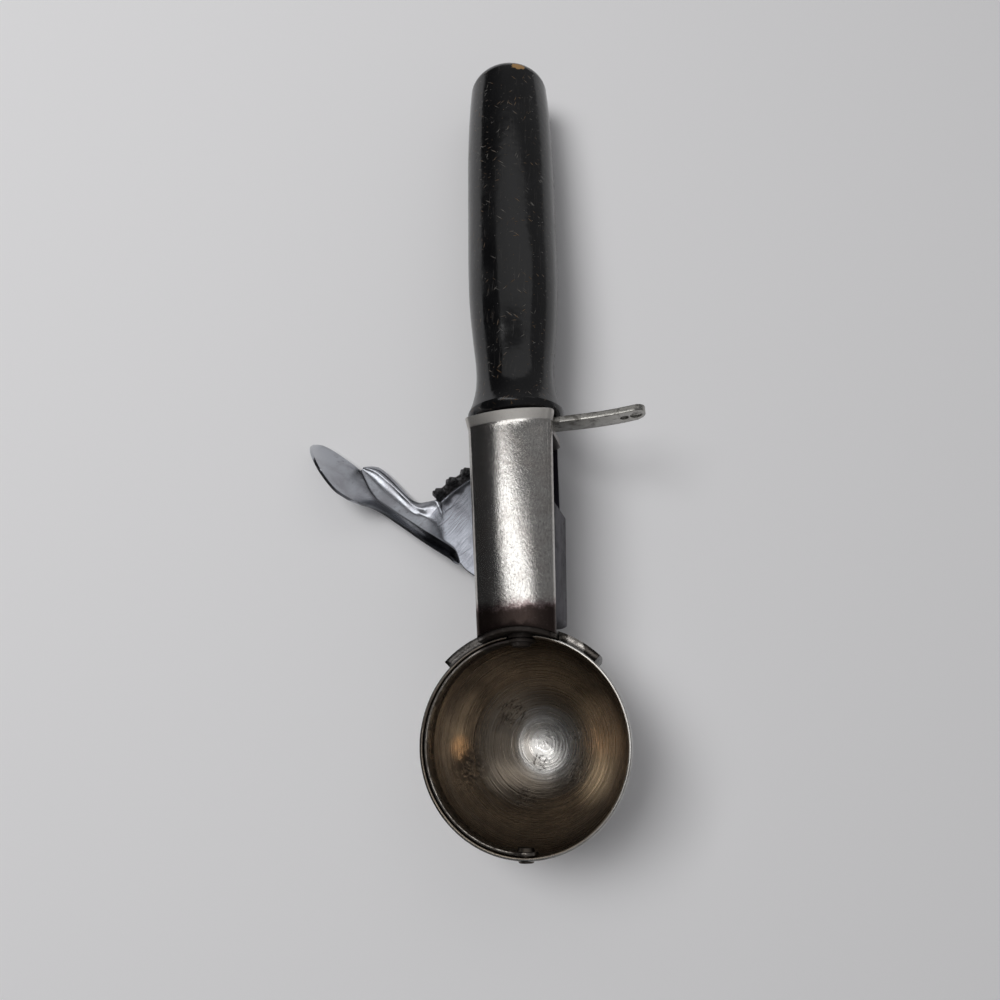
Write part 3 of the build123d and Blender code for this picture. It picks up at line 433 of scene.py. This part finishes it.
def lever_finish():
    """The lever: blue-grey polished sheet with slanting scratches, a black greasy toothed flange."""
    blue_grey, filmed, brushed_grey = (0.47, 0.49, 0.53), (0.36, 0.365, 0.395), (0.30, 0.30, 0.325)
    scratch_dark, plate_dark = (0.09, 0.085, 0.09), (0.085, 0.09, 0.11)
    rust, grease_black = (0.035, 0.027, 0.02), (0.009, 0.008, 0.007)
    # The sector's plate lies within this distance of the pivot, and the teeth beyond it
    pivot, plate_end, plate_side = (0, 35.0, 0), (33.4, 33.0), (-27.0, -24.0)
    teeth_start, teeth_side, teeth_foot = (33.2, 33.6), (-24.2, -23.9), (-9.35, -9.1)
    material, tree, surface, mm = finish("polished_lever_steel", 1.0, 0.25)
    place = apart(tree, mm)
    film = use(tree, patches, mm, Fineness=0.17, From=0.4, To=0.66)
    brushed = use(tree, streaks, mm, Fineness=3.0, Stretch=14.0, Turn=0.75, From=0.32, To=0.68)
    scratch = greatest(tree, use(tree, streaks, mm, Fineness=1.8, Stretch=22.0, Turn=0.95, From=0.66, To=0.7),
                       use(tree, nicks, mm, Fineness=0.9, Stretch=8.0, Turn=-0.5, Width=0.06, Kept=0.6))
    colour = tint(tree, film, blue_grey, filmed)
    colour = tint(tree, times(tree, brushed, 0.35), colour, brushed_grey)
    colour = tint(tree, times(tree, scratch, 0.6), colour, scratch_dark)
    off_pivot = gap(tree, join(tree, place[0], place[1]), pivot)
    sector = times(tree, level(tree, place[0], *plate_side), level(tree, off_pivot, *plate_end))
    colour = tint(tree, times(tree, sector, 0.62), colour, plate_dark)
    # Grease and rust on the teeth
    clot = use(tree, patches, mm, Fineness=1.1, From=0.35, To=0.6, Raggedness=0.7)
    grease = times(tree, level(tree, off_pivot, *teeth_start), level(tree, place[0], *teeth_side))
    grease = times(tree, grease, level(tree, place[2], *teeth_foot))
    grease = times(tree, grease, plus(tree, 0.65, clot, 0.35))
    colour = tint(tree, grease, colour, tint(tree, clot, rust, grease_black))
    tree.links.new(colour, surface.inputs["Base Color"])
    rough = plus(tree, 0.13, brushed, 0.06)
    rough = plus(tree, rough, film, 0.06)
    tree.links.new(plus(tree, rough, grease, 0.25), surface.inputs["Roughness"])
    tree.links.new(plus(tree, 1.0, grease, -0.7), surface.inputs["Metallic"])
    height = plus(tree, brushed, scratch, -1.5)
    relief(tree, surface, plus(tree, height, times(tree, clot, grease), 8.0), 0.00001, 0.7)
    return material


# Bright, dull and stained colours, then the roughness, of each plain steel
finishes = {
    "front_cover": cover_finish(),
    "bowl": bowl_finish(),
    "handle": lacquer_finish(),
    "thumb_lever": lever_finish(),
    # The frame's colours are darkened near black as painted shade, where it lies in shadow beside the housing;
    # its purple-blue tint is its own
    "back_frame": plain_steel("frame_steel", (0.034, 0.029, 0.044), (0.022, 0.019, 0.024),
                              (0.012, 0.01, 0.011), 0.34, stretch=16.0, metal=0.25, gloss=0.12),
    # The saddle's ears carry painted shade, and a painted highlight along the left ear's inner edge
    "bowl_bracket": plain_steel("saddle_steel", (0.42, 0.40, 0.375), (0.27, 0.25, 0.235),
                                (0.06, 0.05, 0.045), 0.17, turn=1.57, stained=0.5, shade=ear_painted_shade),
    "finger_rest": plain_steel("nickel_rest", (0.40, 0.39, 0.365), (0.30, 0.29, 0.27),
                               (0.09, 0.08, 0.07), 0.24, turn=1.5, stained=0.5),
    "scraper": plain_steel("scraper_spring_steel", (0.40, 0.375, 0.34), (0.22, 0.195, 0.17),
                           (0.06, 0.048, 0.04), 0.2, stained=0.46),
    "scraper_pin": plain_steel("pin_steel", (0.15, 0.13, 0.11), (0.09, 0.075, 0.06), (0.03, 0.024, 0.02), 0.3),
    "handle_tang": plain_steel("tang_steel", (0.40, 0.38, 0.36), (0.30, 0.28, 0.265), (0.10, 0.08, 0.07), 0.34),
    "return_spring": plain_steel("spring_wire", (0.30, 0.29, 0.285), (0.20, 0.19, 0.185),
                                 (0.07, 0.055, 0.05), 0.28),
    "shaft_bushing": plain_steel("bushing_steel", (0.30, 0.27, 0.24), (0.20, 0.175, 0.15),
                                 (0.06, 0.045, 0.035), 0.34),
    "pinion": plain_steel("pinion_steel", (0.55, 0.53, 0.50), (0.34, 0.31, 0.28), (0.06, 0.045, 0.035), 0.28,
                          stained=0.5),
}
# The shaft, pins, washers, rivets and collar
turned_steel = plain_steel("turned_steel", (0.52, 0.505, 0.48), (0.38, 0.36, 0.34), (0.11, 0.09, 0.075), 0.26,
                           turn=1.57)

for name, solid in solids.items():
    solid.data.materials.clear()
    solid.data.materials.append(finishes.get(name, turned_steel))

# ---------------------------------------------------------------- thumb lever
# Stations along the lever's pressing, in mm of the tool's own frame, from under the cover to the
# thumb pad's tip: the foot of the turned-up flange, its brim, how far the brim rises, the far
# border of the plate or tongue, and how far that border is turned down. The flange starts at
# station 4 and the tongue ends at station 16.
lever_stations = [
    (-8.5, 36.55, 0, 0, 0, -8.6, 68.5, 0), (-12.4, 39.05, 0, 0, 0, -12.4, 67.3, 0),
    (-14.4, 40.34, 0, 0, 0, -15.2, 66.1, 0), (-16.2, 41.80, 0, 0, 0, -17.3, 65.0, 0),
    (-17.5, 43.6, -17.8, 43.3, 0.5, -19.1, 63.85, 0), (-17.9, 45.1, -18.3, 43.9, 1.6, -20.8, 62.6, 0),
    (-18.7, 47.0, -19.3, 44.9, 2.3, -22.4, 61.3, 0), (-20.6, 48.6, -21.1, 46.0, 2.6, -24.0, 60.5, 0),
    (-23.6, 50.6, -24.0, 48.0, 2.6, -25.8, 60.1, 0.1), (-26.6, 52.5, -26.9, 50.1, 2.6, -27.8, 59.7, 0.2),
    (-29.5, 54.5, -29.7, 52.3, 2.6, -29.6, 60.4, 0.5), (-32.5, 56.4, -32.5, 54.4, 2.6, -32.2, 63.4, 0.9),
    (-36.1, 59.0, -36.0, 57.0, 2.9, -34.6, 66.3, 1), (-38.5, 60.7, -38.6, 58.4, 3.6, -36.8, 68.5, 1),
    (-40.4, 63.3, -40.9, 58.7, 5.6, -38.6, 69.9, 1), (-41.7, 65.9, -42.1, 58.9, 7.8, -40.4, 70.2, 0.8),
    (-43.1, 69.0, -44.8, 60.7, 10.2, -42.4, 70.0, 0.4), (-44.2, 70.0, -46.6, 63.1, 11.2, 0, 0, 0),
    (-48.0, 73.0, -48.5, 66.1, 11.2, 0, 0, 0), (-51.1, 75.2, -50.6, 69.5, 9.6, 0, 0, 0),
    (-53.2, 76.3, -52.6, 72.4, 6.8, 0, 0, 0), (-54.5, 76.5, -54.2, 74.9, 3.6, 0, 0, 0),
    (-54.9, 76.5, -54.85, 76.1, 1.2, 0, 0, 0)]
flange_start = 4
tongue_end = 16
# Where rows of vertices lie between the flange's foot and the tongue's border, or the flange's brim
lip_share = 0.86
tongue_rows = (0.07, 0.22, 0.40, 0.58, 0.74, lip_share, 1.0)
flange_rows = (0.08, 0.3, 0.5, 0.7, 0.9, 1.0)
plate_top = -9.87
plate_sheet = 1.46
pad_share = 0.5
arm_edge = 0.14
# The arm rises beyond the bend, half of it before a joggle with two straight sides and a corner
bend_x = -22.0
bend_slope = math.tan(math.radians(13.0))
joggle_corner = (-28.0, 56.6)
joggle_sides = ((-0.671, -0.742), (-0.316, 0.949))
joggle_width = (-0.6, 1.3)
rise_before = 0.5
tongue_dish = 0.55
lip_drop = 1.1
lip_curl = 1.5
lip_swing = Vector((-0.35, 0.3, 0.0))
flange_dish = 0.05
flange_dish_way = Vector((-0.55, -0.62, -0.55))
# The pressing is cut along this line: the solid's own sector is kept on one side of it
cut_from, cut_to = Vector((-16.3, 41.9, 0)), Vector((-24.3, 60.5, 0))

weld = 1e-7
smooth_angle = math.radians(35)
sharp_angle = math.radians(32)
arm_sharp_angle = math.radians(50)


def halved(stations):
    """The stations with one more halfway along each run."""
    denser = [Vector(stations[0])]
    for before, after in zip(stations, stations[1:]):
        denser += [Vector((start + end) / 2 for start, end in zip(before, after)), Vector(after)]
    return denser


def pull(sheet, chain, spots):
    """Extrudes a chain of vertices into a strip whose far side lies at the spots."""
    edges = [sheet.edges.get(pair) for pair in zip(chain, chain[1:])]
    made = bmesh.ops.extrude_edge_only(sheet, edges=edges)["geom"]
    fresh = {item for item in made if isinstance(item, bmesh.types.BMVert)}
    far = [next(edge.other_vert(vert) for edge in vert.link_edges if edge.other_vert(vert) in fresh)
           for vert in chain]
    for vert, spot in zip(far, spots):
        vert.co = spot
    return far


def soft_step(value, low, high):
    share = min(1.0, max(0.0, (value - low) / (high - low)))
    return share * share * (3 - 2 * share)


def bulge(share):
    """0 at both ends and 1 halfway."""
    return 4 * share * (1 - share)


def arm_rise(x):
    return max(0.0, bend_x - x) * bend_slope


def on_plate(x, y):
    """A point of the lever's top face: flat, then rising outwards past a joggle."""
    past_joggle = max(way_x * (x - joggle_corner[0]) + way_y * (y - joggle_corner[1])
                      for way_x, way_y in joggle_sides)
    risen = rise_before + (1 - rise_before) * soft_step(past_joggle, *joggle_width)
    return Vector((x, y, plate_top + arm_rise(x) * risen))


def on_tongue(station, share):
    """A point between the flange's foot and the far border, which is dished and turned down."""
    foot, border, turn_down = station[0:2], station[5:7], station[7]
    x, y = (start + (end - start) * share for start, end in zip(foot, border))
    spot = on_plate(x, y)
    past_lip = max(0.0, share - lip_share) / (1 - lip_share)
    dish = tongue_dish * bulge(min(1.0, share / lip_share))
    spot.z -= turn_down * (dish + lip_drop * past_lip ** lip_curl)
    return spot + turn_down * past_lip * lip_swing


def on_flange(station, share):
    """A point between the flange's foot and its brim, a little dished away from the plate."""
    foot = on_plate(*station[0:2])
    brim = Vector((station[2], station[3], plate_top + arm_rise(station[0]) + station[4]))
    return foot.lerp(brim, share) + flange_dish * (brim - foot).length * bulge(share) * flange_dish_way


def shaped(name, mesh):
    """An object of the mesh, shaded smooth but for its sharp edges."""
    data = bpy.data.meshes.new(name)
    mesh.to_mesh(data)
    mesh.free()
    data.shade_smooth()
    data.set_sharp_from_angle(angle=smooth_angle)
    made = bpy.data.objects.new(name, data)
    bpy.context.scene.collection.objects.link(made)
    return made


def lever_arm_mesh():
    """The arm's sheet with its tongue, turned-up flange and pad, thinner towards the pad's rim."""
    sheet = bmesh.new()
    thick = sheet.verts.layers.deform.verify()
    stations = halved(lever_stations)
    foot = [sheet.verts.new(on_plate(*station[0:2])) for station in stations]
    for pair in zip(foot, foot[1:]):
        sheet.edges.new(pair)
    for vert in foot:
        vert[thick][0] = 1.0
    first, last = 2 * flange_start, 2 * tongue_end + 1
    row = foot[:last]
    for share in tongue_rows:
        row = pull(sheet, row, [on_tongue(station, share) for station in stations[:last]])
        for vert in row:
            vert[thick][0] = 1.0
    row = foot[first:]
    for share in flange_rows:
        row = pull(sheet, row, [on_flange(station, share) for station in stations[first:]])
        for vert in row:
            vert[thick][0] = pad_share + (1 - pad_share) * soft_step(share, 0.5, 0.0)
    bmesh.ops.recalc_face_normals(sheet, faces=sheet.faces[:])
    if sum(face.normal.z for face in sheet.faces) < 0:
        bmesh.ops.reverse_faces(sheet, faces=sheet.faces[:])
    arm = shaped("lever_arm_sheet", sheet)
    arm.vertex_groups.new(name="thickness")
    for kind, settings in (("SUBSURF", {"levels": 2, "render_levels": 2}),
                           ("SOLIDIFY", {"thickness": plate_sheet, "offset": -1.0, "use_even_offset": True,
                                         "vertex_group": "thickness"}),
                           ("BEVEL", {"width": arm_edge, "segments": 2, "limit_method": "ANGLE",
                                      "angle_limit": arm_sharp_angle})):
        modifier = arm.modifiers.new(kind.lower(), kind)
        for key, value in settings.items():
            setattr(modifier, key, value)
    finished = bpy.data.meshes.new_from_object(arm.evaluated_get(bpy.context.evaluated_depsgraph_get()))
    bpy.data.objects.remove(arm)
    return finished


def thumb_lever_piece():
    """The lever: the solid's own toothed sector, cut off before the arm, and the arm's sheet."""
    arm = lever_arm_mesh()
    whole = bmesh.new()
    whole.from_mesh(solids["thumb_lever"].data)
    bmesh.ops.remove_doubles(whole, verts=whole.verts, dist=weld)
    bmesh.ops.transform(whole, matrix=own.inverted(), verts=whole.verts)
    cut = bmesh.ops.bisect_plane(
        whole, geom=whole.verts[:] + whole.edges[:] + whole.faces[:], plane_co=cut_from,
        plane_no=(cut_to - cut_from).cross(Vector((0, 0, 1))), clear_inner=True)["geom_cut"]
    bmesh.ops.holes_fill(whole, edges=[item for item in cut if isinstance(item, bmesh.types.BMEdge)])
    whole.from_mesh(arm)
    bpy.data.meshes.remove(arm)
    bmesh.ops.transform(whole, matrix=own, verts=whole.verts)
    return shaped("thumb_lever_pressing", whole)


# ---------------------------------------------------------------- pieces that replace solids
def eased(name, width, flat):
    """The solid's own shape with its sharp edges eased, as on pressed and tumbled metal."""
    mesh = bmesh.new()
    mesh.from_mesh(solids[name].data)
    bmesh.ops.remove_doubles(mesh, verts=mesh.verts, dist=weld)
    bmesh.ops.transform(mesh, matrix=own.inverted(), verts=mesh.verts)
    bmesh.ops.dissolve_limit(mesh, angle_limit=math.radians(flat), verts=mesh.verts, edges=mesh.edges)
    sharp = [edge for edge in mesh.edges if edge.is_manifold and edge.calc_face_angle() > sharp_angle]
    bmesh.ops.bevel(mesh, geom=sharp, offset=width, offset_type="OFFSET", segments=2, profile=0.5,
                    affect="EDGES", clamp_overlap=True, material=-1)
    bmesh.ops.triangulate(mesh, faces=mesh.faces)
    bmesh.ops.transform(mesh, matrix=own, verts=mesh.verts)
    return shaped(name + "_eased", mesh)


# How wide each piece's edges are eased, in mm, and up to which angle its facets count as flat, in degrees
for name, width, flat, body in (("bowl_bracket", 0.3, 1.0, "body"), ("finger_rest", 0.25, 1.0, "body"),
                                ("scraper", 0.22, 1.0, "sweep"), ("front_cover", 0.16, 0.05, "body"),
                                ("back_frame", 0.16, 1.0, "body")):
    piece = eased(name, width, flat)
    piece.data.materials.append(finishes[name])
    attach(piece, body)
    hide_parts(name)

pressing = thumb_lever_piece()
pressing.data.materials.append(finishes["thumb_lever"])
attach(pressing, "lever")
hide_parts("thumb_lever")

# ---------------------------------------------------------------- floor, light and camera
floor_half = 3.0
floor_colour = (0.89, 0.885, 0.895, 1)
floor_mesh = bpy.data.meshes.new("floor")
sheet = bmesh.new()
bmesh.ops.create_grid(sheet, x_segments=2, y_segments=2, size=floor_half)
bmesh.ops.translate(sheet, verts=sheet.verts, vec=(0, 0, cad_box[0].z))
sheet.to_mesh(floor_mesh)
sheet.free()
floor = bpy.data.objects.new("floor", floor_mesh)
bpy.context.scene.collection.objects.link(floor)
floor_material = bpy.data.materials.new("pale_floor")
floor_material.use_nodes = True
floor_surface = floor_material.node_tree.nodes["Principled BSDF"].inputs
floor_surface["Base Color"].default_value = floor_colour
floor_surface["Roughness"].default_value = 0.9
floor.data.materials.append(floor_material)

# The room is dark on the thumb lever's side
dark_side, room_strength, sky_colour = (-0.75, 0.1), (0.03, 0.2), (0.98, 0.98, 1.0, 1)
world = bpy.data.worlds.new("studio")
bpy.context.scene.world = world
world.use_nodes = True
sky = world.node_tree
background = sky.nodes["Background"].inputs
aside = apart(sky, put(sky, "TexCoord").outputs["Generated"])[0]
sky.links.new(level(sky, aside, *dark_side, *room_strength), background["Strength"])
background["Color"].default_value = sky_colour


def lamp(name, direction, size, power, mirrored=True):
    """A soft box one metre from the tool, facing it. Metal can mirror it or not."""
    aim = Vector((0.0, -0.02, 0.02))
    light = bpy.data.lights.new(name, "AREA")
    light.shape = "RECTANGLE"
    light.size, light.size_y = size
    light.energy = power
    box = bpy.data.objects.new(name, light)
    bpy.context.scene.collection.objects.link(box)
    away = Vector(direction).normalized()
    box.location = aim + away
    box.rotation_euler = away.to_track_quat("Z", "Y").to_euler()
    box.visible_glossy = mirrored


lamp("over_left", (-0.355, 0.16, 0.91), (0.22, 0.7), 1.15)
lamp("ceiling_panel", (0.05, 0.62, 0.78), (1.5, 0.45), 0.85)
lamp("fill", (-0.45, 0.2, 0.87), (0.5, 0.5), 4.5, mirrored=False)

lens = bpy.data.cameras.new("camera")
lens.sensor_width = 36.0
lens.lens = 29.16
lens.clip_start = 0.005
camera = bpy.data.objects.new("camera", lens)
bpy.context.scene.collection.objects.link(camera)
# Where the camera is, and which ways its right, top and back point, in the tool's own frame
camera.location = own @ Vector((41.042, -1.7117, 179.3412))
sight = Matrix(((0.9680282, -0.0152070, -0.2503800), (0.0884618, 0.9547263, 0.2840284),
                (0.2347252, -0.2970965, 0.9255473)))
camera.rotation_euler = (lie.to_3x3() @ sight.transposed()).to_euler()
bpy.context.scene.camera = camera
bpy.context.scene.view_settings.view_transform = "Standard"
